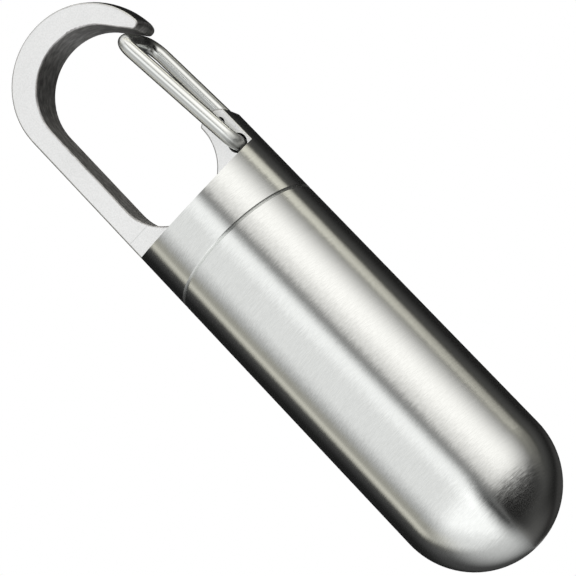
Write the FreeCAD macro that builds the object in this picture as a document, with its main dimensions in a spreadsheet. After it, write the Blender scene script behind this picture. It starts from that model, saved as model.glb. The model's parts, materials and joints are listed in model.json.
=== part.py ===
"""Pill fob keychain: a screwed steel capsule under a milled hook with a sprung wire gate.

Millimetres, +Z up the capsule's axis, the flat front of the hook facing -Y and its gate at +X.
The fob hangs by the top of the hook's loop, and that point is the origin. Heights in the sizes
below are counted from the seam between the cap and the capsule.
"""
import FreeCAD, Part
import Sketcher
import math
import os

# Driving dimensions: name, value, what it measures
SIZES = (
    ("outer_diameter", 18.0, "round bar that cap and capsule are turned from"),
    ("overrun", 1.0, "how far every cut runs past the metal"),
    ("seam_break", 0.2, "chamfer on both rims at the seam"),
    # Capsule
    ("body_straight", 34.7, "capsule from the seam to the start of its round end"),
    ("body_wall", 1.8, "wall round the pills"),
    ("seal_margin", 0.3, "smooth bore below the seal's groove"),
    ("seal_step", 0.1, "smooth bore over the thread's root"),
    # Screw
    ("thread_pitch", 1.25, "travel in one turn"),
    ("thread_depth", 0.5, "ridge over the spigot"),
    ("thread_clearance", 0.2, "radial play of the screw"),
    ("flank_clearance", 0.1, "widening of the capsule's groove on each flank"),
    ("ridge_root_width", 0.7, "ridge at its foot"),
    ("ridge_crest_width", 0.3, "ridge at its crest"),
    ("thread_bite", 0.15, "depth of the ridge's foot in the spigot"),
    ("thread_end_gap", 0.7, "plain end of the spigot below the ridge"),
    ("thread_top_gap", 0.1, "plain spigot between the ridge and the seal's groove"),
    # Spigot and seal
    ("spigot_length", 9.2, "spigot below the seam"),
    ("spigot_lead", 0.4, "chamfer on the spigot's end"),
    ("spigot_wall", 1.3, "metal behind the seal's groove"),
    ("cap_bore_height", 2.0, "bore of the spigot above the seam"),
    ("seal_land", 0.8, "plain land between the seam and the seal"),
    ("seal_clearance", 0.15, "play of that land in the smooth bore"),
    ("ring_cord", 1.5, "thickness of the seal ring"),
    ("ring_gap", 0.1, "ring to groove floor and to bore"),
    ("ring_side_gap", 0.2, "ring to each side of its groove"),
    # Cap and hook
    ("shoulder_height", 5.0, "cap from the seam to the lip of its sloped shoulder"),
    ("shoulder_rise", 2.1, "rise of the shoulder from its lip to the foot of the flat"),
    ("plate_thickness", 5.2, "hook between its two flats"),
    ("hook_height", 34.2, "hook from the seam to its round top"),
    ("crown_depth", 3.4, "metal over the top of the loop"),
    ("leg_width", 2.7, "closed side of the hook"),
    ("tip_web", 2.0, "open side of the hook beside its round top"),
    ("floor_sink", 1.1, "loop's floor below the foot of the flat"),
    ("tip_rise", 0.05, "end of the tip above the start of the hook's round top"),
    ("tip_width", 0.87, "end of the tip, on its flats"),
    ("tip_relief", 2.25, "straight inner side of the tip, measured across"),
    ("tip_inner_round", 0.4, "rounding of the tip's end beside the gate"),
    ("tip_outer_round", 0.55, "rounding of the tip's end outside"),
    ("edge_break", 0.25, "rounding along the outlines of the flats"),
    # Lug that carries the gate
    ("lug_width", 3.45, "lug from the loop to the outside"),
    ("lug_side", 0.2, "straight side of the lug above the loop's round floor"),
    ("lug_crown", 0.52, "rise of the lug's round top over that side"),
    ("lug_cover", 0.55, "least metal over the rear hole"),
    ("lug_top_inset", 2.05, "highest point of the lug in from the outside"),
    ("near_pivot_inset", 1.7, "front hole in from the outside"),
    ("near_pivot_rise", 0.85, "front hole above the foot of the flat"),
    ("far_pivot_inset", 1.6, "rear hole in from the outside"),
    ("far_pivot_rise", 3.9, "rear hole above the foot of the flat"),
    ("push_out_diameter", 1.2, "small hole behind each pin, to push the wire out again"),
    # Wire gate
    ("wire_diameter", 1.65, "spring wire"),
    ("pin_clearance", 0.25, "play of the wire's ends in their holes"),
    ("pin_reach", 1.5, "wire's ends inside their holes"),
    ("pin_bend_radius", 1.1, "centre line of the bends at the holes"),
    ("leg_clearance", 0.3, "wire legs off the lug's flats"),
    ("near_lean", 1.25, "front leg's lean into the loop"),
    ("far_lean", 0.48, "rear leg's lean into the loop"),
    ("bar_drop", 0.1, "gate's cross bar below the end of the tip"),
    ("bar_bend_radius", 2.0, "centre line of the bends at the cross bar"),
)

# Places that follow from the driving dimensions: name and formula
PLACES = (
    ("outer_radius", "sizes.outer_diameter / 2"),
    ("cut_reach", "outer_radius + sizes.overrun"),
    ("rim_radius", "outer_radius - sizes.seam_break"),
    # Screw, spigot and seal, outwards and then downwards
    ("bore_radius", "outer_radius - sizes.body_wall"),
    ("core_radius", "bore_radius - sizes.thread_clearance"),
    ("crest_radius", "core_radius + sizes.thread_depth"),
    ("root_radius", "crest_radius + sizes.thread_clearance"),
    ("seal_bore_radius", "root_radius + sizes.seal_step"),
    ("land_radius", "seal_bore_radius - sizes.seal_clearance"),
    ("ring_floor_radius", "seal_bore_radius - sizes.ring_cord - 2 * sizes.ring_gap"),
    ("ring_cord_radius", "sizes.ring_cord / 2"),
    ("ring_radius", "seal_bore_radius - sizes.ring_gap - ring_cord_radius"),
    ("spigot_bore_radius", "ring_floor_radius - sizes.spigot_wall"),
    ("spigot_lead_radius", "core_radius - sizes.spigot_lead"),
    ("ring_groove_top", "-sizes.seal_land"),
    ("ring_groove_bottom", "ring_groove_top - sizes.ring_cord - 2 * sizes.ring_side_gap"),
    ("ring_height", "(ring_groove_top + ring_groove_bottom) / 2"),
    ("spigot_end", "-sizes.spigot_length"),
    ("spigot_lead_height", "spigot_end + sizes.spigot_lead"),
    # Ridge on the spigot and groove in the capsule, each drawn at its lowest turn
    ("ridge_foot_radius", "core_radius - sizes.thread_bite"),
    ("ridge_height", "spigot_end + sizes.thread_end_gap + sizes.ridge_root_width / 2"),
    ("ridge_root_low", "ridge_height - sizes.ridge_root_width / 2"),
    ("ridge_root_high", "ridge_height + sizes.ridge_root_width / 2"),
    ("ridge_crest_low", "ridge_height - sizes.ridge_crest_width / 2"),
    ("ridge_crest_high", "ridge_height + sizes.ridge_crest_width / 2"),
    ("groove_mouth_radius", "bore_radius - sizes.thread_bite"),
    ("groove_mouth_low", "ridge_root_low - sizes.thread_pitch - sizes.flank_clearance"),
    ("groove_mouth_high", "ridge_root_high - sizes.thread_pitch + sizes.flank_clearance"),
    ("groove_root_low", "ridge_crest_low - sizes.thread_pitch - sizes.flank_clearance"),
    ("groove_root_high", "ridge_crest_high - sizes.thread_pitch + sizes.flank_clearance"),
    ("thread_room", "ring_groove_bottom - sizes.thread_top_gap - ridge_root_high"),
    ("thread_turns", "thread_room / sizes.thread_pitch"),
    ("groove_turns", "thread_turns + 2"),
    # Capsule, downwards
    ("rim_drop", "-sizes.seam_break"),
    ("seal_bottom", "ring_groove_bottom - sizes.seal_margin"),
    ("seal_lead_bottom", "seal_bottom - (seal_bore_radius - bore_radius)"),
    ("dome_centre", "-sizes.body_straight"),
    ("dome_floor", "dome_centre - bore_radius"),
    ("dome_end", "dome_centre - outer_radius"),
    # Cap, flats and loop, upwards
    ("plate_half", "sizes.plate_thickness / 2"),
    ("flat_foot", "sizes.shoulder_height + sizes.shoulder_rise"),
    ("shoulder_overrun",
     "sizes.shoulder_height - sizes.overrun * sizes.shoulder_rise / (outer_radius - plate_half)"),
    ("hook_centre", "sizes.hook_height - outer_radius"),
    ("cut_top", "sizes.hook_height + sizes.overrun"),
    ("loop_left", "sizes.leg_width - outer_radius"),
    ("loop_right", "outer_radius - sizes.lug_width"),
    ("loop_floor_radius", "(loop_right - loop_left) / 2"),
    ("loop_floor_x", "(loop_right + loop_left) / 2"),
    ("loop_floor_z", "flat_foot - sizes.floor_sink + loop_floor_radius"),
    ("loop_top", "sizes.hook_height - sizes.crown_depth"),
    ("loop_top_radius", "(outer_radius - sizes.tip_web - loop_left) / 2"),
    ("loop_top_x", "loop_left + loop_top_radius"),
    ("loop_top_z", "loop_top - loop_top_radius"),
    ("tip_end", "hook_centre + sizes.tip_rise"),
    ("tip_outside", "sqrt(outer_radius ^ 2 - plate_half ^ 2 - sizes.tip_rise ^ 2)"),
    ("tip_inside", "tip_outside - sizes.tip_width"),
    ("relief_x", "tip_inside - sizes.tip_relief"),
    ("relief_z", "loop_top_z + sqrt(loop_top_radius ^ 2 - (relief_x - loop_top_x) ^ 2)"),
    # Lug and its holes for the gate
    ("wire_radius", "sizes.wire_diameter / 2"),
    ("hole_radius", "wire_radius + sizes.pin_clearance"),
    ("push_out_radius", "sizes.push_out_diameter / 2"),
    ("hole_depth", "plate_half + sizes.overrun"),
    ("near_pivot_x", "outer_radius - sizes.near_pivot_inset"),
    ("near_pivot_z", "flat_foot + sizes.near_pivot_rise"),
    ("far_pivot_x", "outer_radius - sizes.far_pivot_inset"),
    ("far_pivot_z", "flat_foot + sizes.far_pivot_rise"),
    ("lug_over_hole", "far_pivot_z + hole_radius + sizes.lug_cover - sizes.lug_crown"),
    ("lug_side_top", "max(loop_floor_z + sizes.lug_side; lug_over_hole)"),
    ("lug_top_x", "outer_radius - sizes.lug_top_inset"),
    ("lug_radius", "((lug_top_x - loop_right) ^ 2 + sizes.lug_crown ^ 2) / (2 * sizes.lug_crown)"),
    ("lug_arc_z", "lug_side_top + sizes.lug_crown - lug_radius"),
    ("lug_arc_right", "lug_top_x + lug_radius"),
    # Gate
    ("pin_end_y", "plate_half - sizes.pin_reach"),
    ("leg_y", "plate_half + sizes.leg_clearance + wire_radius"),
    ("near_top_x", "near_pivot_x - sizes.near_lean"),
    ("far_top_x", "far_pivot_x - sizes.far_lean"),
    ("bar_height", "tip_end - sizes.bar_drop"),
    # Every sub-part hangs from the top of the loop
    ("hang_shift", "-loop_top"),
    ("ring_shift", "ring_height - loop_top"),
)

SIZE_NAMES = {alias for alias, _, _ in SIZES}
SAME_PLACE = 1e-4  # how near two coordinates are to count as one

doc = FreeCAD.newDocument("pill_fob")


def fill_sheet(name, rows):
    """A sheet with one named cell per row, and the row's text or formula in it."""
    sheet = doc.addObject("Spreadsheet::Sheet", name)
    for line, (alias, text) in enumerate(rows, start=1):
        sheet.set(f"A{line}", alias)
        sheet.set(f"B{line}", text)
        sheet.setAlias(f"B{line}", alias)
    doc.recompute()
    return sheet


sizes = fill_sheet("sizes", [(alias, str(value)) for alias, value, _ in SIZES])
for line, (_, _, note) in enumerate(SIZES, start=1):
    sizes.set(f"C{line}", note)
places = fill_sheet("places", [(alias, "=" + formula) for alias, formula in PLACES])


def place(name):
    """Value of a size or place now. A leading minus mirrors it, and None is zero."""
    if name is None:
        return 0.0
    if name.startswith("-"):
        return -place(name[1:])
    return float(getattr(sizes if name in SIZE_NAMES else places, name))


def formula_of(name):
    """Expression that keeps a constraint tied to a size or place."""
    if name.startswith("-"):
        return "-" + formula_of(name[1:])
    return f"sizes.{name}" if name in SIZE_NAMES else f"places.{name}"


def new_body(label):
    """An empty body that hangs from the top of the loop."""
    body = doc.addObject("PartDesign::Body", label)
    body.Label = label
    body.setExpression(".Placement.Base.z", "places.hang_shift")
    return body


def new_sketch(body, name, plane_role):
    """A sketch on one of the body's own origin planes."""
    sketch = body.newObject("Sketcher::SketchObject", name)
    plane = next(item for item in body.Origin.OriginFeatures if item.Role == plane_role)
    sketch.AttachmentSupport = [(plane, "")]
    sketch.MapMode = "FlatFace"
    return sketch


def tie_point(sketch, item, end, corner):
    """Hold one end of a sketch line at a corner's place, counted from the sketch's origin."""
    for direction, name in zip(("DistanceX", "DistanceY"), corner):
        index = sketch.addConstraint(Sketcher.Constraint(direction, -1, 1, item, end, place(name)))
        if name is not None:
            sketch.setExpression(f"Constraints[{index}]", formula_of(name))


def draw_outline(sketch, corners, arcs=None):
    """Closed outline through the corners, in order.

    Each corner is a pair of place names. arcs gives, for the side that leaves a corner by its number,
    the place names of the arc's centre and whether the side turns anticlockwise.
    """
    arcs = arcs or {}
    points = [FreeCAD.Vector(place(x), place(y), 0) for x, y in corners]
    first = sketch.GeometryCount
    starts = []
    ends = []
    for number, start in enumerate(points):
        end = points[(number + 1) % len(points)]
        if number not in arcs:
            item = sketch.addGeometry(Part.LineSegment(start, end))
            starts.append((item, 1))
            ends.append((item, 2))
            continue
        centre_x, centre_y, anticlockwise = arcs[number]
        centre = FreeCAD.Vector(place(centre_x), place(centre_y), 0)
        low, high = (start, end) if anticlockwise else (end, start)
        circle = Part.Circle(centre, FreeCAD.Vector(0, 0, 1), (start - centre).Length)
        arc = Part.ArcOfCircle(circle, circle.parameter(low), circle.parameter(high))
        item = sketch.addGeometry(arc)
        starts.append((item, 1 if anticlockwise else 2))
        ends.append((item, 2 if anticlockwise else 1))
    for number, corner in enumerate(corners):
        tie_point(sketch, *starts[number], corner)
        sketch.addConstraint(Sketcher.Constraint("Coincident", *ends[number - 1], *starts[number]))
    for number, (_, centre_y, _) in arcs.items():
        constraint = Sketcher.Constraint("DistanceY", -1, 1, first + number, 3, place(centre_y))
        index = sketch.addConstraint(constraint)
        if centre_y is not None:
            sketch.setExpression(f"Constraints[{index}]", formula_of(centre_y))


def draw_circle(sketch, centre, radius):
    """A circle at a pair of place names, with the radius of a place."""
    middle = FreeCAD.Vector(place(centre[0]), place(centre[1]), 0)
    item = sketch.addGeometry(Part.Circle(middle, FreeCAD.Vector(0, 0, 1), place(radius)))
    tie_point(sketch, item, 3, centre)
    index = sketch.addConstraint(Sketcher.Constraint("Radius", item, place(radius)))
    sketch.setExpression(f"Constraints[{index}]", formula_of(radius))


def turn(body, name, sketch):
    """Turn a half section about the capsule's axis."""
    feature = body.newObject("PartDesign::Revolution", name)
    feature.Profile = sketch
    feature.ReferenceAxis = (sketch, ["V_Axis"])
    doc.recompute()
    return feature


def cut_through(body, name, sketch):
    """Cut a sketch through the whole body, both ways from its plane."""
    before = body.Shape.Volume
    feature = body.newObject("PartDesign::Pocket", name)
    feature.Profile = sketch
    feature.Type = "ThroughAll"
    feature.SideType = "Symmetric"
    doc.recompute()
    if not feature.Shape.Volume < before:
        raise RuntimeError(f"{name} cuts nothing")
    return feature


def wind(body, kind, name, sketch, turns):
    """Wind a thread section up the capsule's axis, right-handed."""
    feature = body.newObject(f"PartDesign::{kind}", name)
    feature.Profile = sketch
    feature.ReferenceAxis = (sketch, ["V_Axis"])
    feature.Mode = "pitch-turns-angle"
    feature.HasBeenEdited = True
    feature.setExpression("Pitch", "sizes.thread_pitch")
    feature.setExpression("Turns", turns)
    doc.recompute()
    return feature


def drill_half(body, name, centre, radius, to_front):
    """Drill a blind hole from one flat of the hook to the middle of its thickness."""
    before = body.Shape.Volume
    sketch = new_sketch(body, name + "_circle", "XZ_Plane")
    draw_circle(sketch, centre, radius)
    feature = body.newObject("PartDesign::Pocket", name)
    feature.Profile = sketch
    feature.Type = "Length"
    feature.Reversed = to_front
    feature.setExpression("Length", "places.hole_depth")
    doc.recompute()
    if not feature.Shape.Volume < before:
        raise RuntimeError(f"{name} cuts nothing")
    return feature


def round_edges(body, name, base, wanted, radius):
    """Round the edges of a feature that a test picks out."""
    edges = [f"Edge{number}" for number, edge in enumerate(base.Shape.Edges, start=1) if wanted(edge)]
    feature = body.newObject("PartDesign::Fillet", name)
    feature.Base = (base, edges)
    feature.setExpression("Radius", formula_of(radius))
    doc.recompute()
    return feature


def on_tip_end(edge):
    """True for the edges across the end of the hook's tip."""
    box = edge.BoundBox
    level = box.ZLength < SAME_PLACE and abs(box.ZMin - place("tip_end")) < SAME_PLACE
    return level and box.YLength > place("plate_half")


def on_tip_inside(edge):
    """True for the edge of the tip's end beside the gate."""
    return on_tip_end(edge) and edge.BoundBox.XMin < place("tip_inside") + SAME_PLACE


def on_tip_outside(edge):
    """True for the edge of the tip's end on the round outside."""
    return on_tip_end(edge) and edge.BoundBox.XMax > place("tip_outside") - SAME_PLACE


def on_flat_outline(edge):
    """True for the edges round the hook's two flats, without the foot of the flat."""
    box = edge.BoundBox
    flat = place("plate_half")
    on_flat = box.YLength < SAME_PLACE and abs(abs(box.YMin) - flat) < SAME_PLACE
    at_foot = box.ZLength < SAME_PLACE and abs(box.ZMin - place("flat_foot")) < SAME_PLACE
    return on_flat and not at_foot


def make_cap_hook():
    """Cap, spigot and hook, turned and milled from one bar."""
    body = new_body("cap_hook")

    section = new_sketch(body, "bar_section", "XZ_Plane")
    draw_outline(section, [
        (None, "cap_bore_height"),
        ("spigot_bore_radius", "cap_bore_height"),
        ("spigot_bore_radius", "spigot_end"),
        ("spigot_lead_radius", "spigot_end"),
        ("core_radius", "spigot_lead_height"),
        ("core_radius", "ring_groove_bottom"),
        ("ring_floor_radius", "ring_groove_bottom"),
        ("ring_floor_radius", "ring_groove_top"),
        ("land_radius", "ring_groove_top"),
        ("land_radius", None),
        ("rim_radius", None),
        ("outer_radius", "seam_break"),
        ("outer_radius", "hook_centre"),
        (None, "hook_height"),
    ], {12: (None, "hook_centre", True)})
    turn(body, "turned_bar", section)

    flats = new_sketch(body, "flat_cuts", "YZ_Plane")
    for side in ("", "-"):
        draw_outline(flats, [
            (side + "plate_half", "flat_foot"),
            (side + "plate_half", "cut_top"),
            (side + "cut_reach", "cut_top"),
            (side + "cut_reach", "shoulder_overrun"),
        ])
    cut_through(body, "milled_flats", flats)

    loop = new_sketch(body, "loop_outline", "XZ_Plane")
    draw_outline(loop, [
        ("loop_right", "loop_floor_z"),
        ("loop_right", "lug_side_top"),
        ("lug_arc_right", "lug_arc_z"),
        ("cut_reach", "lug_arc_z"),
        ("cut_reach", "tip_end"),
        ("tip_inside", "tip_end"),
        ("relief_x", "relief_z"),
        ("loop_left", "loop_top_z"),
        ("loop_left", "loop_floor_z"),
    ], {
        1: ("lug_top_x", "lug_arc_z", False),
        6: ("loop_top_x", "loop_top_z", True),
        8: ("loop_floor_x", "loop_floor_z", True),
    })
    milled = cut_through(body, "milled_loop", loop)

    milled = round_edges(body, "tip_inside_round", milled, on_tip_inside, "tip_inner_round")
    milled = round_edges(body, "tip_outside_round", milled, on_tip_outside, "tip_outer_round")
    round_edges(body, "broken_edges", milled, on_flat_outline, "edge_break")

    push_out = new_sketch(body, "push_out_holes", "XZ_Plane")
    draw_circle(push_out, ("near_pivot_x", "near_pivot_z"), "push_out_radius")
    draw_circle(push_out, ("far_pivot_x", "far_pivot_z"), "push_out_radius")
    cut_through(body, "drilled_push_out", push_out)
    drill_half(body, "near_hole", ("near_pivot_x", "near_pivot_z"), "hole_radius", to_front=True)
    drill_half(body, "far_hole", ("far_pivot_x", "far_pivot_z"), "hole_radius", to_front=False)

    ridge = new_sketch(body, "ridge_section", "XZ_Plane")
    draw_outline(ridge, [
        ("ridge_foot_radius", "ridge_root_low"),
        ("crest_radius", "ridge_crest_low"),
        ("crest_radius", "ridge_crest_high"),
        ("ridge_foot_radius", "ridge_root_high"),
    ])
    wind(body, "AdditiveHelix", "spigot_thread", ridge, "places.thread_turns")
    return body


def make_capsule_body():
    """Round-ended tube for the pills, with a smooth bore for the seal and a thread below it."""
    body = new_body("capsule_body")

    section = new_sketch(body, "tube_section", "XZ_Plane")
    draw_outline(section, [
        ("seal_bore_radius", None),
        ("rim_radius", None),
        ("outer_radius", "rim_drop"),
        ("outer_radius", "dome_centre"),
        (None, "dome_end"),
        (None, "dome_floor"),
        ("bore_radius", "dome_centre"),
        ("bore_radius", "seal_lead_bottom"),
        ("seal_bore_radius", "seal_bottom"),
    ], {3: (None, "dome_centre", False), 5: (None, "dome_centre", True)})
    turn(body, "turned_tube", section)

    groove = new_sketch(body, "groove_section", "XZ_Plane")
    draw_outline(groove, [
        ("groove_mouth_radius", "groove_mouth_low"),
        ("root_radius", "groove_root_low"),
        ("root_radius", "groove_root_high"),
        ("groove_mouth_radius", "groove_mouth_high"),
    ])
    wind(body, "SubtractiveHelix", "capsule_thread", groove, "places.groove_turns")
    return body


def make_seal_ring():
    """Rubber ring in the spigot's groove."""
    ring = doc.addObject("Part::Torus", "seal_ring")
    ring.Label = "seal_ring"
    ring.setExpression("Radius1", "places.ring_radius")
    ring.setExpression("Radius2", "places.ring_cord_radius")
    ring.setExpression(".Placement.Base.z", "places.ring_shift")
    return ring


def bend(before, corner, after, radius):
    """Start, middle and end of the arc that rounds a corner of the wire."""
    into = (before - corner).normalize()
    away = (after - corner).normalize()
    half = into.getAngle(away) / 2
    setback = radius / math.tan(half)
    middle_line = (into + away).normalize()
    centre = corner + middle_line * (radius / math.sin(half))
    return corner + into * setback, centre - middle_line * radius, corner + away * setback


def make_wire_gate():
    """Spring wire bent into a staple, its two ends sprung into the lug's offset holes."""
    def at(x, y, height):
        return FreeCAD.Vector(place(x), place(y), place(height) + place("hang_shift"))

    corners = [
        at("near_pivot_x", "-pin_end_y", "near_pivot_z"),
        at("near_pivot_x", "-leg_y", "near_pivot_z"),
        at("near_top_x", "-leg_y", "bar_height"),
        at("far_top_x", "leg_y", "bar_height"),
        at("far_pivot_x", "leg_y", "far_pivot_z"),
        at("far_pivot_x", "pin_end_y", "far_pivot_z"),
    ]
    pin_bend = place("pin_bend_radius")
    bar_bend = place("bar_bend_radius")
    edges = []
    here = corners[0]
    for number, radius in enumerate((pin_bend, bar_bend, bar_bend, pin_bend), start=1):
        start, middle, end = bend(corners[number - 1], corners[number], corners[number + 1], radius)
        edges.append(Part.LineSegment(here, start).toShape())
        edges.append(Part.Arc(start, middle, end).toShape())
        here = end
    edges.append(Part.LineSegment(here, corners[-1]).toShape())

    path = doc.addObject("Part::Feature", "wire_path")
    path.Shape = Part.Wire(edges)

    end_face = doc.addObject("Part::Circle", "wire_section")
    end_face.setExpression("Radius", "places.wire_radius")
    to_front = FreeCAD.Rotation(FreeCAD.Vector(0, 0, 1), corners[1] - corners[0])
    end_face.Placement = FreeCAD.Placement(corners[0], to_front)

    gate = doc.addObject("Part::Sweep", "wire_gate")
    gate.Label = "wire_gate"
    gate.Sections = [end_face]
    gate.Spine = (path, [f"Edge{number}" for number in range(1, len(edges) + 1)])
    gate.Solid = True
    gate.Frenet = False
    return gate


def check_all():
    """Stop if any object of the document failed."""
    for item in doc.Objects:
        if {"Invalid", "Error"} & set(item.State):
            raise RuntimeError(f"{item.Label}: {item.State}")


def export(part):
    """Check one sub-part and write it under its own name."""
    shape = part.Shape
    if shape.isNull() or not shape.isValid() or len(shape.Solids) != 1:
        raise RuntimeError(f"{part.Label} is not one valid solid")
    shape.exportStep(f"parts/{part.Label}.step")
    box = shape.optimalBoundingBox()
    print(f"{part.Label}: {shape.Volume:.1f} mm3,"
          f" x {box.XMin:.2f} to {box.XMax:.2f}, y {box.YMin:.2f} to {box.YMax:.2f},"
          f" z {box.ZMin:.2f} to {box.ZMax:.2f}")


os.makedirs("parts", exist_ok=True)
sub_parts = [make_cap_hook(), make_capsule_body(), make_seal_ring(), make_wire_gate()]
doc.recompute()
check_all()
for sub_part in sub_parts:
    export(sub_part)
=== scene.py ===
# %% [markdown]
# # A pill fob on a carabiner hook
# The fob is a steel capsule for pills. It screws onto a cap, the cap grows into a flat hook, and a
# sprung wire closes the hook. The packed model already has every piece at its real size, in metres,
# with +Z up the capsule's axis, so this lesson only adds what the eye wants: fine meshes where a
# close look would find facets, finishes for turned, milled and drawn steel, and a small studio.

# %% Load the frame
import json
import math

import bmesh
import bpy
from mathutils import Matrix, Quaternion, Vector


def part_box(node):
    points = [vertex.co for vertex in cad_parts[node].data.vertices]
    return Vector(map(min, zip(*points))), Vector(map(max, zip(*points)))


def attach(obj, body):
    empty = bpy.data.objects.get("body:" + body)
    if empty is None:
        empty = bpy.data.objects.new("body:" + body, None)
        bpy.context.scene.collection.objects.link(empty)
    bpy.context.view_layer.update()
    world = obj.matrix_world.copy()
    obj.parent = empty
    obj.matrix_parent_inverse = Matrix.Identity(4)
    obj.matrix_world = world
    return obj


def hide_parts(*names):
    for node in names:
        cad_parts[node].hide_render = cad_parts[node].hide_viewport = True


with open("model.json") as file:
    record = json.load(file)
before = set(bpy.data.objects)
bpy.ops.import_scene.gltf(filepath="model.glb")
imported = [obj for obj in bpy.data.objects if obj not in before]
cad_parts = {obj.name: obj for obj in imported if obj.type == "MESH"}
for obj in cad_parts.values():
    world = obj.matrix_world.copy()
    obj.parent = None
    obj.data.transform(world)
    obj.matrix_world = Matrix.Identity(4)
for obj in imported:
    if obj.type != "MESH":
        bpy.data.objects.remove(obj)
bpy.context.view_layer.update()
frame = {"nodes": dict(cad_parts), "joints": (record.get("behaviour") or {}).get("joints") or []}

MM = 0.001


def in_mm(point):
    """A point in millimetres, rounded for printing."""
    return [round(value / MM, 2) for value in point]


# %% [markdown]
# ## Measure before modelling
# A piece that replaces a packed one has to fill the same space. Typing its size again would let the
# two drift apart, so the main sizes are read from the frame: the capsule's box gives its radius, the
# height of the seam and the end of the dome, and the gate's joint gives the places of its holes.

# %% Sizes from the frame
capsule_low, capsule_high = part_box("capsule_body")
outer_radius = capsule_high.x
seam_height = capsule_high.z
dome_end = capsule_low.z
dome_height = dome_end + outer_radius
hook_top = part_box("cap_hook")[1].z
crown_height = hook_top - outer_radius

gate_joint = next(joint for joint in frame["joints"] if joint["name"] == "gate_swing")
near_hole = Vector(gate_joint["pos_m"])
hole_line = -Vector(gate_joint["axis"]).normalized()
far_hole = near_hole + hole_line * (-2 * near_hole.y / hole_line.y)
print("seam at", round(seam_height / MM, 2), "mm, holes at", in_mm(near_hole), in_mm(far_hole))

# %% [markdown]
# ## Shader maths as plain sums
# Every finish here is worked out from a point's place on the metal. Wiring Math nodes by hand hides
# such a sum, so one small class wraps a node's output and lets Python's own signs add the nodes.

# %% One output of a shader node
class Signal:
    """One output of a shader node. Arithmetic on it adds the Math nodes that work it out."""

    def __init__(self, socket):
        self.socket = socket

    @classmethod
    def add(cls, tree, kind, settings=None, sockets=None, output=0):
        """Any node: its type, its settings, then the values or links of its sockets."""
        node = tree.nodes.new(kind)
        for name, value in (settings or {}).items():
            setattr(node, name, value)
        for name, value in (sockets or {}).items():
            if isinstance(value, Signal):
                tree.links.new(value.socket, node.inputs[name])
            else:
                node.inputs[name].default_value = value
        return cls(node.outputs[output])

    def out(self, name):
        """Another output of the same node."""
        return Signal(self.socket.node.outputs[name])

    def node(self, kind, settings=None, sockets=None, output=0):
        """Any node in the same tree as this output."""
        return Signal.add(self.socket.id_data, kind, settings, sockets, output)

    def maths(self, operation, *others):
        """A Math node on this output and the others, in that order."""
        return self.node("ShaderNodeMath", {"operation": operation}, dict(enumerate((self, *others))))

    def __add__(self, other):
        return self.maths("ADD", other)

    def __sub__(self, other):
        return self.maths("SUBTRACT", other)

    def __rsub__(self, other):
        return -self + other

    def __mul__(self, other):
        return self.maths("MULTIPLY", other)

    def __truediv__(self, other):
        return self.maths("DIVIDE", other)

    def __rtruediv__(self, other):
        return self.maths("POWER", -1) * other

    def __neg__(self):
        return self.maths("MULTIPLY", -1)

    __radd__ = __add__
    __rmul__ = __mul__

    def vector(self, operation, sockets):
        """A Vector Math node in the same tree as this output."""
        return self.node("ShaderNodeVectorMath", {"operation": operation}, sockets)

    def rise(self, low, high):
        """0 up to low and 1 from high on, with a smooth step between. low may be the larger."""
        return self.node("ShaderNodeMapRange", {"interpolation_type": "SMOOTHSTEP"},
                         {"Value": self, "From Min": low, "From Max": high})

    def window(self, low, high, soft):
        """1 between low and high, falling off smoothly over soft each side of both."""
        return self.rise(low - soft, low + soft) * self.rise(high + soft, high - soft)

    def tint(self, low, high, free=False):
        """A colour from low to high as this value goes from 0 to 1, and on past high if it is free."""
        return self.node("ShaderNodeMix", {"data_type": "RGBA", "clamp_factor": not free},
                         {0: self, 6: low, 7: high}, 2)


print("signs that also take a number on their left:", [name for name in vars(Signal) if name[:3] == "__r"])

# %% [markdown]
# ## From a sum to a finish
# A finish starts from the place on the piece, breaks it up with noise and ends in one shader. Noise
# is asked for over lengths that are already divided by the size of its grain, so each mark on the
# steel has a width and a length in millimetres instead of a scale without a meaning. Noise seldom
# strays far from its middle, so a ramp over its usual spread is what brings out full light and dark.

# %% Helpers for finishes
green_loss_share = 0.3
noise_middle = 0.5
noise_spread = (0.3, 0.7)


def grey(level, warmth=0.0):
    """A linear colour of that level, a little yellower for some warmth."""
    return (level, level * (1 - green_loss_share * warmth), level * (1 - warmth), 1.0)


def finish(name, shader_maker):
    """A material whose surface is what shader_maker adds to its empty node tree."""
    material = bpy.data.materials.new(name)
    material.use_nodes = True
    tree = material.node_tree
    tree.nodes.clear()
    output = tree.nodes.new("ShaderNodeOutputMaterial")
    tree.links.new(shader_maker(tree).socket, output.inputs["Surface"])
    print("finish", name, "has", len(tree.nodes), "nodes")
    return material


def place_of(tree):
    """X, Y and Z of the point on the piece, in metres."""
    place = Signal.add(tree, "ShaderNodeTexCoord", output="Object")
    x = place.node("ShaderNodeSeparateXYZ", sockets={0: place})
    return x, x.out("Y"), x.out("Z")


def noise(x, y, z, detail=2.0):
    """Noise over three signals, each already divided by the size of its grain."""
    vector = x.node("ShaderNodeCombineXYZ", sockets={0: x, 1: y, 2: z})
    return x.node("ShaderNodeTexNoise", sockets={"Vector": vector, "Scale": 1.0, "Detail": detail})


print("a middle grey, plain and warm:", grey(0.5), grey(0.5, 0.1))

# %% [markdown]
# ## Marks of the lathe
# The capsule was turned on a lathe and then rubbed with fine paper while it spun, so it carries short
# dashes round its axis. Bump alone would leave the edges of its reflections too clean. The dashes
# therefore tip the surface a little to the left or right, which feathers those edges. On the round
# end they are worn, and a band of scuffs leans the surface up and down instead. Both fade where the
# steel is seen at a glancing angle, because such fine grooves then hide behind one another.

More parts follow.
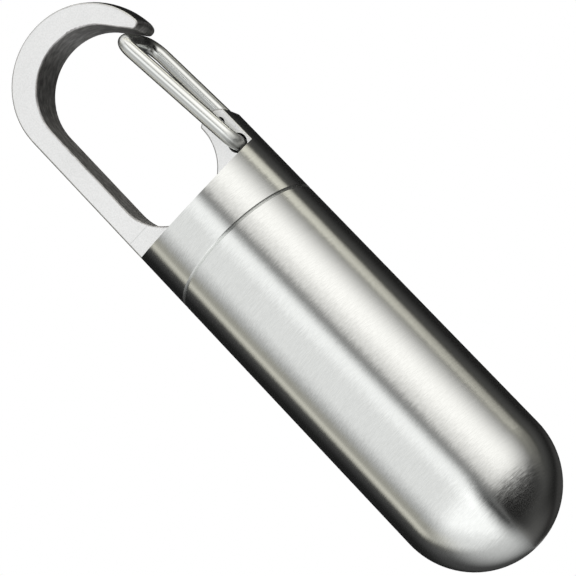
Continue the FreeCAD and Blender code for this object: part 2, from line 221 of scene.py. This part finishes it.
# %% Marks of the lathe
dash_tip = 0.07
dash_wear = 0.6
wear_from, wear_full = 0.2 * outer_radius, 0.5 * outer_radius
scuff_tip = 0.36
scuff_from, scuff_to, scuff_soft = 0.4 * outer_radius, 0.75 * outer_radius, 0.15 * outer_radius
graze_from, graze_full = 0.2, 0.6


def tipped_normal(tree, dashes, scuffs, below_straight):
    """The surface's direction, tipped round the axis by dashes and along it by scuffs."""
    facing = Signal.add(tree, "ShaderNodeNewGeometry", output="Normal")
    grazing = Signal.add(tree, "ShaderNodeLayerWeight", output="Facing")
    face_on = 1 - grazing.rise(graze_from, graze_full)
    worn = 1 - dash_wear * below_straight.rise(wear_from, wear_full)
    scuffed = below_straight.window(scuff_from, scuff_to, scuff_soft)
    tip = dash_tip * face_on * worn * (dashes - noise_middle)
    lean = scuff_tip * face_on * scuffed * (scuffs - noise_middle)
    around = facing.vector("CROSS_PRODUCT", {0: (0, 0, 1), 1: facing})
    along_axis = facing.vector("CROSS_PRODUCT", {0: facing, 1: around})
    leant = facing.vector("ADD", {0: facing, 1: along_axis.vector("SCALE", {0: along_axis, 3: lean})})
    tipped = facing.vector("ADD", {0: leant, 1: around.vector("SCALE", {0: around, 3: tip})})
    return tipped.vector("NORMALIZE", {0: tipped})


print("scuffed band in mm below the straight wall:", in_mm((scuff_from, scuff_to)))

# %% [markdown]
# ## Turned steel
# Rings and dashes that all run round the axis scatter light along it and hardly at all round it, which
# is why such metal shows long sharp stripes. The shader's own anisotropy does that: its default
# tangent runs round the object's Z axis, and a quarter turn lays the wide lobe along the axis. On the
# round end the marks are laid out along the dome's arc, so they don't bunch up or stretch there.

# %% Turned steel
ring_width = 0.1 * MM
ring_length = 2.4 * MM
ring_depth = 0.02 * MM
dash_width = 0.13 * MM
dash_length = 0.55 * MM
scuff_width = 0.16 * MM
scuff_length = 0.8 * MM
smudge_size = 5.0 * MM
ring_share, dash_share, smudge_share = 0.3, 0.4, 0.3
turned_roughness, ring_roughness, smudge_roughness = 0.17, 0.06, 0.03
quarter_turn = 0.25
steel_dark = (0.67, 0.683, 0.668, 1)
steel_light = (0.78, 0.794, 0.778, 1)


def turned_shader(tree):
    """Satin turned steel: sharp round the axis, blurred along it."""
    x, y, z = place_of(tree)
    radius = (x * x + y * y).maths("SQRT")
    below_straight = (dome_height - z).maths("MAXIMUM", 0)
    along_dome = below_straight.maths("ARCTAN2", radius) * outer_radius
    along = z.maths("MAXIMUM", dome_height) - along_dome
    rings = noise(x / ring_length, y / ring_length, along / ring_width)
    dashes = noise(x / dash_length, y / dash_length, along / dash_width, 3.0)
    scuffs = noise(x / scuff_length, y / scuff_length, along / scuff_width, 3.0)
    smudges = noise(x / smudge_size, y / smudge_size, along / smudge_size)
    marks = (ring_share * rings.rise(*noise_spread) + dash_share * dashes.rise(*noise_spread)
             + smudge_share * smudges)
    bump = x.node("ShaderNodeBump", sockets={
        "Strength": 0.3,
        "Distance": ring_depth,
        "Height": rings,
        "Normal": tipped_normal(tree, dashes, scuffs, below_straight),
    })
    return x.node("ShaderNodeBsdfPrincipled", sockets={
        "Base Color": marks.tint(steel_dark, steel_light),
        "Metallic": 1.0,
        "Roughness": turned_roughness + ring_roughness * rings + smudge_roughness * smudges,
        "Anisotropic": 0.9,
        "Anisotropic Rotation": quarter_turn,
        "Normal": bump,
    })


frame["nodes"]["capsule_body"].material_slots[0].material = finish("turned_steel_finish", turned_shader)

# %% [markdown]
# ## Milled steel
# The hook was milled out of the same bar, so one piece wears two finishes. Where a point lies under
# the bar's round skin, a cutter has been there. The two flats were then blasted to an even pale grain,
# while the walls of the loop keep darker marks that run along the cut. A thin line across the left leg
# shows where the cutter stopped. A mask worked out from the place chooses between flats and walls, so
# the packed mesh needs no cut along the border.

# %% Milled steel
grain_size = 0.16 * MM
grain_share = 0.75
wall_mark_width = 0.55 * MM
wall_mark_length = 1.1 * MM
wall_mark_share, wall_mark_spread = 0.6, (0.22, 0.78)
mark_depth = 0.04 * MM
tool_line_height = -21.7 * MM
tool_line_width = 0.07 * MM
tool_line_from, tool_line_full = -5.6 * MM, -6.2 * MM
tool_line_shade = 0.6
side_soft = 1 * MM
wall_roughness, flat_smoothness, grain_roughness = 0.5, 0.08, 0.08
blasted_dark = (0.68, 0.688, 0.68, 1)
blasted_light = (1.0, 1.0, 1.0, 1)
wall_dark = grey(0.2, 0.02)
wall_light = grey(0.86, 0.02)


def milled_shader(tree, flat):
    """Blasted flats where flat is 1, and walls as the cutter left them elsewhere."""
    x, y, z = place_of(tree)
    grain = noise(x / grain_size, y / grain_size, z / grain_size, 3.0)
    clouds = noise(x / smudge_size, y / smudge_size, z / smudge_size)
    marks = noise(x / wall_mark_length, y / wall_mark_width, z / wall_mark_length, 4.0)
    on_leg = x.rise(tool_line_from, tool_line_full) * y.rise(0, -side_soft)
    line = z.window(tool_line_height - tool_line_width, tool_line_height, tool_line_width) * on_leg
    blasting = grain_share * grain + (1 - grain_share) * clouds - tool_line_shade * line
    cutting = wall_mark_share * marks.rise(*wall_mark_spread) + (1 - wall_mark_share) * grain
    pale = blasting.tint(blasted_dark, blasted_light)
    dark = cutting.tint(wall_dark, wall_light)
    height = flat * grain + (1 - flat) * marks - line
    bump = x.node("ShaderNodeBump", sockets={"Strength": 0.3, "Distance": mark_depth, "Height": height})
    return x.node("ShaderNodeBsdfPrincipled", sockets={
        "Base Color": flat.tint(dark, pale),
        "Metallic": 1.0,
        "Roughness": wall_roughness - flat_smoothness * flat + grain_roughness * grain,
        "Normal": bump,
    })


print("marks on the walls in mm:", in_mm((wall_mark_length, wall_mark_width, mark_depth)))

# %% [markdown]
# ## Two finishes on one piece
# The bar's skin is a cylinder with a ball on its crown, so the distance to its axis, or to the ball's
# centre above that height, says how deep a point lies under the skin. The flats are told from the
# walls by the way they face: they look straight to the front or the back.

# %% Finish of the cap and hook
skin_depth, cut_depth = 0.03 * MM, 0.12 * MM
collar = 1 * MM
shoulder_top = -23.7 * MM
shoulder_soft = 0.1 * MM
flat_from, flat_full = 0.9, 0.98


def hook_shader(tree):
    """Turned steel on the bar's skin, milled steel wherever a cutter went under it."""
    x, y, z = place_of(tree)
    over_crown = (z - crown_height).maths("MAXIMUM", 0)
    reach = (x * x + y * y + over_crown * over_crown).maths("SQRT")
    cut = (outer_radius - reach).rise(skin_depth, cut_depth) * z.rise(seam_height, seam_height + collar)
    normal = Signal.add(tree, "ShaderNodeTexCoord", output="Normal")
    facing = normal.node("ShaderNodeSeparateXYZ", sockets={0: normal}).out("Y").maths("ABSOLUTE")
    flat = facing.rise(flat_from, flat_full) * z.rise(shoulder_top - shoulder_soft, shoulder_top)
    return x.node("ShaderNodeMixShader", sockets={
        0: cut.maths("MAXIMUM", flat), 1: turned_shader(tree), 2: milled_shader(tree, flat)})


frame["nodes"]["cap_hook"].material_slots[0].material = finish("hook_steel_finish", hook_shader)

# %% [markdown]
# ## The wire gate
# The gate is one length of spring wire, bent into a staple and sprung into two holes that are not
# level, so that the wire twists and snaps shut by itself. Its path is a handful of corners, and each
# inner corner becomes an arc of the radius that the bending tool had.

# %% Path of the wire
wire_radius = 0.825 * MM
pin_bend = 1.1 * MM
bar_bend = 2.0 * MM
pin_depth = 1.5 * MM
plate_half = 2.6 * MM
near_top_x = 6.05 * MM
far_top_x = 6.92 * MM
leg_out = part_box("wire_gate")[1].y - wire_radius
bar_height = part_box("wire_gate")[1].z - wire_radius

wire_corners = [
    Vector((near_hole.x, pin_depth - plate_half, near_hole.z)),
    Vector((near_hole.x, -leg_out, near_hole.z)),
    Vector((near_top_x, -leg_out, bar_height)),
    Vector((far_top_x, leg_out, bar_height)),
    Vector((far_hole.x, leg_out, far_hole.z)),
    Vector((far_hole.x, plate_half - pin_depth, far_hole.z)),
]


def rounded_path(corners, radii, steps=14):
    """Points along the corners, with each inner corner turned into an arc of its own radius."""
    points = [corners[0]]
    for before, corner, after, radius in zip(corners, corners[1:], corners[2:], radii):
        back = (before - corner).normalized()
        on = (after - corner).normalized()
        half = back.angle(on) / 2
        centre = corner + (back + on).normalized() * (radius / math.sin(half))
        first = corner + back * (radius / math.tan(half)) - centre
        last = corner + on * (radius / math.tan(half)) - centre
        points += [centre + radius * first.slerp(last, step / steps) for step in range(steps + 1)]
    return points + [corners[-1]]


wire_path = rounded_path(wire_corners, (pin_bend, bar_bend, bar_bend, pin_bend))
wire_length = sum((b - a).length for a, b in zip(wire_path, wire_path[1:]))
print("wire of", round(wire_length / MM, 1), "mm through", len(wire_path), "points")

# %% [markdown]
# ## A skin over rings of points
# Wire and seal are both round in section, so both are rings of points with faces between neighbours.
# A bmesh takes points and faces straight from Python, which a curve object or a modifier would hide,
# and it leaves a plain mesh that exports as it is.

# %% Meshes from rings
def add_mesh(name, build):
    """A smooth object from a function that fills an empty bmesh."""
    shape = bmesh.new()
    build(shape)
    bmesh.ops.recalc_face_normals(shape, faces=shape.faces)
    mesh = bpy.data.meshes.new(name)
    shape.to_mesh(mesh)
    shape.free()
    mesh.shade_smooth()
    piece = bpy.data.objects.new(name, mesh)
    bpy.context.scene.collection.objects.link(piece)
    print(name, "has", len(mesh.polygons), "faces")
    return piece


def bridge(shape, rings, closed):
    """Faces between neighbouring rings of points, and from the last ring to the first if closed."""
    pairs = list(zip(rings, rings[1:] + rings[:1]))
    for lower, upper in pairs if closed else pairs[:-1]:
        for number in range(len(lower)):
            shape.faces.new((lower[number - 1], lower[number], upper[number], upper[number - 1]))


print("packed meshes so far:", len(bpy.data.meshes))

# %% [markdown]
# ## Tube along the path
# A ring is carried from station to station. At each bend it is turned by no more than the bend itself,
# so the tube never twists. Two smaller rings at the ends round off the cut wire.

# %% Tube along the path
end_round = 0.2 * MM


def build_wire(shape, sides=48):
    """Round wire along its path, with both cut ends rounded off."""
    end_radius = wire_radius - end_round
    first_way = (wire_path[1] - wire_path[0]).normalized()
    last_way = (wire_path[-1] - wire_path[-2]).normalized()
    stations = [(wire_path[0], end_radius), (wire_path[0] + first_way * end_round, wire_radius)]
    stations += [(point, wire_radius) for point in wire_path[1:-1]]
    stations += [(wire_path[-1] - last_way * end_round, wire_radius), (wire_path[-1], end_radius)]
    places = [place for place, _ in stations]
    ways = [(after - before).normalized()
            for before, after in zip(places[:1] + places[:-1], places[1:] + places[-1:])]
    angles = [2 * math.pi * step / sides for step in range(sides)]
    side = ways[0].orthogonal().normalized()
    rings = []
    for number, (place, radius) in enumerate(stations):
        if number:
            side = ways[number - 1].rotation_difference(ways[number]) @ side
        other = ways[number].cross(side)
        spokes = [math.cos(angle) * side + math.sin(angle) * other for angle in angles]
        rings.append([shape.verts.new(place + radius * spoke) for spoke in spokes])
    bridge(shape, rings, closed=False)
    shape.faces.new(rings[0])
    shape.faces.new(rings[-1])


wire_gate = add_mesh("gate_wire", build_wire)
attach(wire_gate, "gate")
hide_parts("wire_gate")

# %% [markdown]
# ## The seal
# The pills stay dry because a rubber ring sits in a groove of the spigot. Such rings are pressed in a
# mould of two halves, which leaves a hair of rubber all round, inside and outside. Two points of each
# ring stand out by that hair, so the flash is real geometry and costs nothing.

# %% Seal ring
ring_low, ring_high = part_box("seal_ring")
cord_radius = (ring_high.z - ring_low.z) / 2
flash_height = 0.02 * MM
ring_radius = ring_high.x - cord_radius
ring_height = (ring_high.z + ring_low.z) / 2


def build_ring(shape, turns=160, sides=60):
    """A moulded ring with a hair of flash along the two parting lines."""
    rings = []
    for step in range(turns):
        angle = 2 * math.pi * step / turns
        out = Vector((math.cos(angle), math.sin(angle), 0))
        ring = []
        for side in range(sides):
            round_cord = 2 * math.pi * side / sides
            on_line = side % (sides // 2) == 0
            reach = cord_radius - flash_height + (flash_height if on_line else 0)
            place = out * (ring_radius + reach * math.cos(round_cord))
            ring.append(shape.verts.new(place + Vector((0, 0, ring_height + reach * math.sin(round_cord)))))
        rings.append(ring)
    bridge(shape, rings, closed=True)


seal_ring = add_mesh("seal_moulding", build_ring)
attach(seal_ring, "seal")
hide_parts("seal_ring")

# %% [markdown]
# ## Spring wire
# Wire is drawn through a die, which polishes it and leaves hairlines along its length. The lines are
# laid out by the way the surface faces, because that stays the same all along a wire, also where the
# wire leans. Painted shade darkens the side towards the loop, more so on the rear leg, and the outer
# side of the rear leg, and the bend at the front hole has the small dents of the tool that pressed it in.

# %% Spring wire
hairline_turn = 0.14
hairline_length = 8.0 * MM
dent_size = 0.35 * MM
dent_depth = 0.02 * MM
dent_from, dent_full = 1.5 * MM, 0.4 * MM
inside_from, inside_to, inside_soft = -0.45, -0.12, 0.12
outside_from, outside_full = 0.45, 0.85
hairline_share = 0.5
inside_painted_shade, rear_painted_shade, outside_painted_shade, dent_dulling = 0.6, 0.3, 0.9, 0.4
wire_roughness, hairline_roughness, pinch_roughness = 0.23, 0.04, 0.25
wire_hairline_and_shade_dark = (0.39, 0.4, 0.388, 1)
wire_bright = (0.96, 0.98, 0.955, 1)


def wire_shader(tree):
    """Polished drawn wire, with painted shade on the side towards the loop and on the rear leg's outer
    side.
    """
    x, y, z = place_of(tree)
    normal = Signal.add(tree, "ShaderNodeTexCoord", output="Normal")
    outward = normal.node("ShaderNodeSeparateXYZ", sockets={0: normal})
    hairlines = noise(outward / hairline_turn, outward.out("Y") / hairline_turn, z / hairline_length)
    dents = noise(x / dent_size, y / dent_size, z / dent_size, 3.0)
    pinched = z.rise(near_hole.z + dent_from, near_hole.z + dent_full) * y.rise(0, -side_soft)
    rear = y.rise(0, side_soft)
    on_inside = outward.window(inside_from, inside_to, inside_soft)
    # Painted shade: the base colour is darkened on the faces towards the loop, more on the rear leg, and on
    # the rear leg's outer side.
    painted_shade_inside = (inside_painted_shade + rear_painted_shade * rear) * on_inside
    painted_shade_outside = outside_painted_shade * rear * outward.rise(outside_from, outside_full)
    lined = 1 - hairline_share + hairline_share * hairlines
    tone_with_painted_shade = lined - (painted_shade_inside + painted_shade_outside) - dent_dulling * pinched * dents
    bump = x.node("ShaderNodeBump", sockets={
        "Strength": 0.25, "Distance": dent_depth, "Height": pinched * dents})
    return x.node("ShaderNodeBsdfPrincipled", sockets={
        "Base Color": tone_with_painted_shade.tint(wire_hairline_and_shade_dark, wire_bright),
        "Metallic": 1.0,
        "Roughness": wire_roughness + hairline_roughness * hairlines + pinch_roughness * pinched,
        "Normal": bump,
    })


wire_gate.data.materials.append(finish("spring_wire_finish", wire_shader))

# %% [markdown]
# ## Seal rubber
# The seal is moulded nitrile rubber: nearly black, matt, with a bloom of grey in places. It is seen
# only when the capsule is off, so fine grain and soft clouds are enough.

# %% Seal rubber
pore_depth = 0.02 * MM
pore_share = 0.5
rubber_roughness, bloom_roughness = 0.5, 0.15
rubber_dark = grey(0.012)
rubber_bloom = grey(0.035)


def rubber_shader(tree):
    """Matt black nitrile."""
    x, y, z = place_of(tree)
    grain = noise(x / grain_size, y / grain_size, z / grain_size)
    bloom = noise(x / smudge_size, y / smudge_size, z / smudge_size)
    bump = x.node("ShaderNodeBump", sockets={"Strength": 0.2, "Distance": pore_depth, "Height": grain})
    cloudy = pore_share * grain + (1 - pore_share) * bloom
    return x.node("ShaderNodeBsdfPrincipled", sockets={
        "Base Color": cloudy.tint(rubber_dark, rubber_bloom),
        "Roughness": rubber_roughness + bloom_roughness * bloom,
        "Normal": bump,
    })


seal_ring.data.materials.append(finish("seal_rubber_finish", rubber_shader))

# %% [markdown]
# ## The camera
# The fob is photographed from a little below and to the right, with the camera rolled so that the fob
# lies across the picture. A long lens keeps the capsule's sides parallel. Aiming first and rolling
# afterwards keeps the two apart, which three angles in one go would not.

# %% Camera
camera_place = Vector((51.233, -279.123, -121.229)) * MM
aim_point = Vector((-0.068, 0.592, -36.752)) * MM
camera_roll = math.radians(-43.682)
picture_side = 576
focal_pixels = 2837

camera_data = bpy.data.cameras.new("camera")
camera_data.sensor_width = 36
camera_data.lens = camera_data.sensor_width * focal_pixels / picture_side
camera_data.clip_start = 1 * MM
camera = bpy.data.objects.new("camera", camera_data)
camera.rotation_mode = "QUATERNION"
camera.location = camera_place
straight = (aim_point - camera_place).to_track_quat("-Z", "Y")
camera.rotation_quaternion = straight @ Quaternion((0, 0, 1), camera_roll)
bpy.context.scene.collection.objects.link(camera)
bpy.context.scene.camera = camera
bpy.context.scene.view_settings.view_transform = "Standard"
print("lens of", round(camera_data.lens), "mm,", round((aim_point - camera_place).length / MM), "mm away")

# %% [markdown]
# ## A studio round the fob
# Metal shows what stands round it, so the studio is most of the finish. Real cards and lamps would
# have to be hidden from every other view. Painting the world by direction does the same with two
# angles that a photographer would use: the turn from the camera's side, left below zero, and the
# height over the level, both in degrees. Across and away say how far a direction points to the right
# and to the back, from -1 to 1, for the few edges that don't follow an angle.

# %% Directions from the fob
view_azimuth = math.atan2(camera_place.x, -camera_place.y)

studio = bpy.data.worlds.new("studio")
studio.use_nodes = True
studio.node_tree.nodes.clear()
bpy.context.scene.world = studio

way = Signal.add(studio.node_tree, "ShaderNodeTexCoord", output="Generated")
east = way.node("ShaderNodeSeparateXYZ", sockets={0: way})
north = east.out("Y")
up = east.out("Z")
across = east * math.cos(view_azimuth) + north * math.sin(view_azimuth)
away = north * math.cos(view_azimuth) - east * math.sin(view_azimuth)
turn = across.maths("ARCTAN2", -away) * math.degrees(1)
height = up.maths("ARCSINE") * math.degrees(1)
print("camera stands", round(math.degrees(view_azimuth), 1), "degrees right of the front")

# %% [markdown]
# ## The left wall
# The left half of the steel mirrors a white wall beside the camera. The wall is brighter towards the
# camera and at its foot, and its near edge leans to the left lower down. All of that is soft ramps
# over the directions, times a level. A pair of numbers is where a ramp starts and where it is
# complete, and a gain is what the ramp then adds to the level.

# %% Left wall
left_end = (-113, -103)
left_top = (70, 54)
left_level = 0.38
middle_gain, middle_turn = 0.57, (-92, -60)
front_gain, front_turn = 0.25, (-32, -14)
foot_gain, foot_height, foot_turn = 0.42, (-3, -20), (-118, -90)
edge_from, edge_full = 0.11, -0.15
lean_from, lean_full, lean_height = 0.14, 0.22, (5, -40)

left_light = (left_level + middle_gain * turn.rise(*middle_turn) + front_gain * turn.rise(*front_turn)
              + foot_gain * height.rise(*foot_height) * turn.rise(*foot_turn))
low = height.rise(*lean_height)
left_edge = across.rise(edge_from - lean_from * low, edge_full - lean_full * low)
left_wall = turn.rise(*left_end) * left_edge * height.rise(*left_top) * left_light
print("with the left wall the studio has", len(studio.node_tree.nodes), "nodes")

# %% [markdown]
# ## The right wall and the slot
# The right wall is the brighter one, and it fades towards its far end. It is hung at a slant, so its
# foot and its top climb with the turn. Between the two walls is a narrow slot of grey, which draws the
# dark line down the middle of the capsule.

# %% Right wall and slot
right_start = (3, 19)
right_fade = (106, 48)
right_foot, right_top, right_soft = -38, 58, 9
right_climb = 0.15
right_level = 0.83
side_gain, side_turn = 0.51, (12, 44)
slot_from, slot_to, slot_soft = -1, 9, 5
slot_level, slot_gain, slot_height = 0.16, 0.07, (-50, 22)

right_light = (right_level + side_gain * turn.rise(*side_turn)) * turn.rise(*right_fade)
right_span = (height - right_climb * turn).window(right_foot, right_top, right_soft)
right_wall = turn.rise(*right_start) * right_span * right_light
slot = turn.window(slot_from, slot_to, slot_soft) * (slot_level + slot_gain * height.rise(*slot_height))
print("with the right wall and the slot it has", len(studio.node_tree.nodes), "nodes")

# %% [markdown]
# ## Strips and ceiling
# Past each wall hangs a thin strip, which gives the bright edge just before the steel turns dark. The
# right strip is the stronger one and has a faint tail below it. A pale ceiling closes the room. Three
# numbers are a window: its two edges, and how soft they are.

# %% Strips and ceiling
right_strip_turn = (93, 109, 3)
right_strip_foot, right_strip_top = (9, 25), (65, 59)
right_strip_level = 1.2
tail_height, tail_level = (-45, 0), 0.14
left_strip_turn, left_strip_height = (-111, -100, 3.5), (-2, 62, 4)
left_strip_level = 0.43
ceiling_height, ceiling_level = (55, 75), 0.9

right_strip_light = (height.rise(*right_strip_foot) * height.rise(*right_strip_top) * right_strip_level
                     + height.rise(*tail_height) * tail_level)
right_strip = turn.window(*right_strip_turn) * right_strip_light
left_strip = turn.window(*left_strip_turn) * height.window(*left_strip_height) * left_strip_level
ceiling = height.rise(*ceiling_height) * ceiling_level
bright = left_wall + right_wall + slot + right_strip + left_strip + ceiling
print("with the strips and the ceiling it has", len(studio.node_tree.nodes), "nodes")

# %% [markdown]
# ## The dark behind
# Black is never quite black in a room. A table below, some glow behind each wall and a haze low on the
# left lift the shadows of the steel, which otherwise look cut out with scissors.

# %% Dark side of the room
table_edge, table_level = -0.33, 1.05
table_away, table_across = (-0.2, 0.25), (0.14, -0.25)
right_glow_turn, right_glow_level = (104, 126, 16), 0.07
left_glow_far, left_glow_near, left_glow_level = (-140, -112), (-104, -112), 0.05
low_glow_away, low_glow_across = (0.1, 0.5), (0.6, 0.15)
low_glow_height, low_glow_level = (-22, -45), 0.1
back_glow_turn, back_glow_height, back_glow_level = (146, 172, 8), (-25, 6, 6), 0.04
haze_turn, haze_height, haze_level = (-106, -114), (4, -14), 0.05
room_level = 0.013

below_edge = (table_edge - up).maths("MAXIMUM", 0)
table = below_edge * away.rise(*table_away) * across.rise(*table_across) * table_level
right_glow = turn.window(*right_glow_turn) * right_glow_level
left_glow = turn.rise(*left_glow_far) * turn.rise(*left_glow_near) * left_glow_level
low_glow_reach = away.rise(*low_glow_away) * height.rise(*low_glow_height) * across.rise(*low_glow_across)
low_glow = low_glow_reach * low_glow_level
back_glow = turn.window(*back_glow_turn) * height.window(*back_glow_height) * back_glow_level
haze = turn.rise(*haze_turn) * height.rise(*haze_height) * haze_level
level = bright + table + right_glow + left_glow + low_glow + back_glow + haze + room_level
print("the whole room takes", len(studio.node_tree.nodes), "nodes")

# %% [markdown]
# ## Which ray sees what
# The same world can answer differently to different rays. The camera sees plain white, as on a
# catalogue page. Mirrors and glass see the room, cool on the left, warm on the right and beige in
# the strips. All other rays see an even grey, so that matt surfaces get a plain level of light.

# %% Light paths
black = grey(0.0)
white = grey(1.0)
plain = grey(0.5)
warm_white = (1.0, 0.98, 0.957, 1.0)
beige_white = (1.0, 0.968, 0.855, 1.0)
warm_turn = (0, 12)
beige_turn, beige_height = (88, 114, 6), (-40, 4)

camera_ray = Signal.add(studio.node_tree, "ShaderNodeLightPath", output="Is Camera Ray")
mirrored = camera_ray.out("Is Glossy Ray").maths("MAXIMUM", camera_ray.out("Is Transmission Ray"))
cool = level.tint(black, white, free=True)
warm = level.tint(black, warm_white, free=True)
beige = level.tint(black, beige_white, free=True)
in_strips = turn.maths("ABSOLUTE").window(*beige_turn) * height.rise(*beige_height)
room = in_strips.tint(turn.rise(*warm_turn).tint(cool, warm), beige)
seen = camera_ray.tint(mirrored.tint(plain, room), white)
background = seen.node("ShaderNodeBackground", sockets={"Color": seen, "Strength": 1.0})
world_output = studio.node_tree.nodes.new("ShaderNodeOutputWorld")
studio.node_tree.links.new(background.socket, world_output.inputs["Surface"])
print("world has", len(studio.node_tree.nodes), "nodes")

# %% [markdown]
# ## The floor
# Seen from above, the fob hangs over a pale card that takes its shadow. The main camera looks from
# below the card, so its underside is clear. Backfacing tells the sides apart, and the card has to face
# up for that, which the tidying of normals can't know about an open sheet.

# %% Floor
floor_height = -90 * MM
floor_reach = 3.0
fibre_size = 4 * MM
card_dark = grey(0.86)
card_light = grey(0.9)


def floor_shader(tree):
    """Pale matt card from above, clear from below."""
    x, y, z = place_of(tree)
    fibres = noise(x / fibre_size, y / fibre_size, z / fibre_size, 4.0)
    card = x.node("ShaderNodeBsdfPrincipled", sockets={
        "Base Color": fibres.tint(card_dark, card_light), "Roughness": 0.9})
    underside = Signal.add(tree, "ShaderNodeNewGeometry", output="Backfacing")
    clear = x.node("ShaderNodeBsdfTransparent")
    return x.node("ShaderNodeMixShader", sockets={0: underside, 1: card, 2: clear})


def build_floor(shape, squares=24):
    """A wide flat card in squares."""
    bmesh.ops.create_grid(shape, x_segments=squares, y_segments=squares, size=floor_reach)
    bmesh.ops.translate(shape, verts=shape.verts, vec=(0, 0, floor_height))


floor = add_mesh("floor", build_floor)
if floor.data.polygons[0].normal.z < 0:
    floor.data.flip_normals()
floor.data.materials.append(finish("floor_card", floor_shader))
floor.visible_glossy = False

# %% [markdown]
# ## The lamp
# One lamp throws the shadow. A lamp close by would leave a bright pool and a dark far edge on the
# card, so this one is a sun, which lights the card evenly. Its wide disc softens the shadow, and it
# stays out of the steel, which already has its walls to mirror.

# %% Lamp
lamp_data = bpy.data.lights.new("soft_lamp", "SUN")
lamp_data.angle = math.radians(14)
lamp_data.energy = 1.95
lamp = bpy.data.objects.new("soft_lamp", lamp_data)
lamp.location = (-0.25, -0.3, 0.7)
lamp.rotation_euler = (-lamp.location).to_track_quat("-Z", "Y").to_euler()
lamp.visible_glossy = False
bpy.context.scene.collection.objects.link(lamp)
print("lamp of", lamp_data.energy, "with a disc of", round(math.degrees(lamp_data.angle)), "degrees")

# %% [markdown]
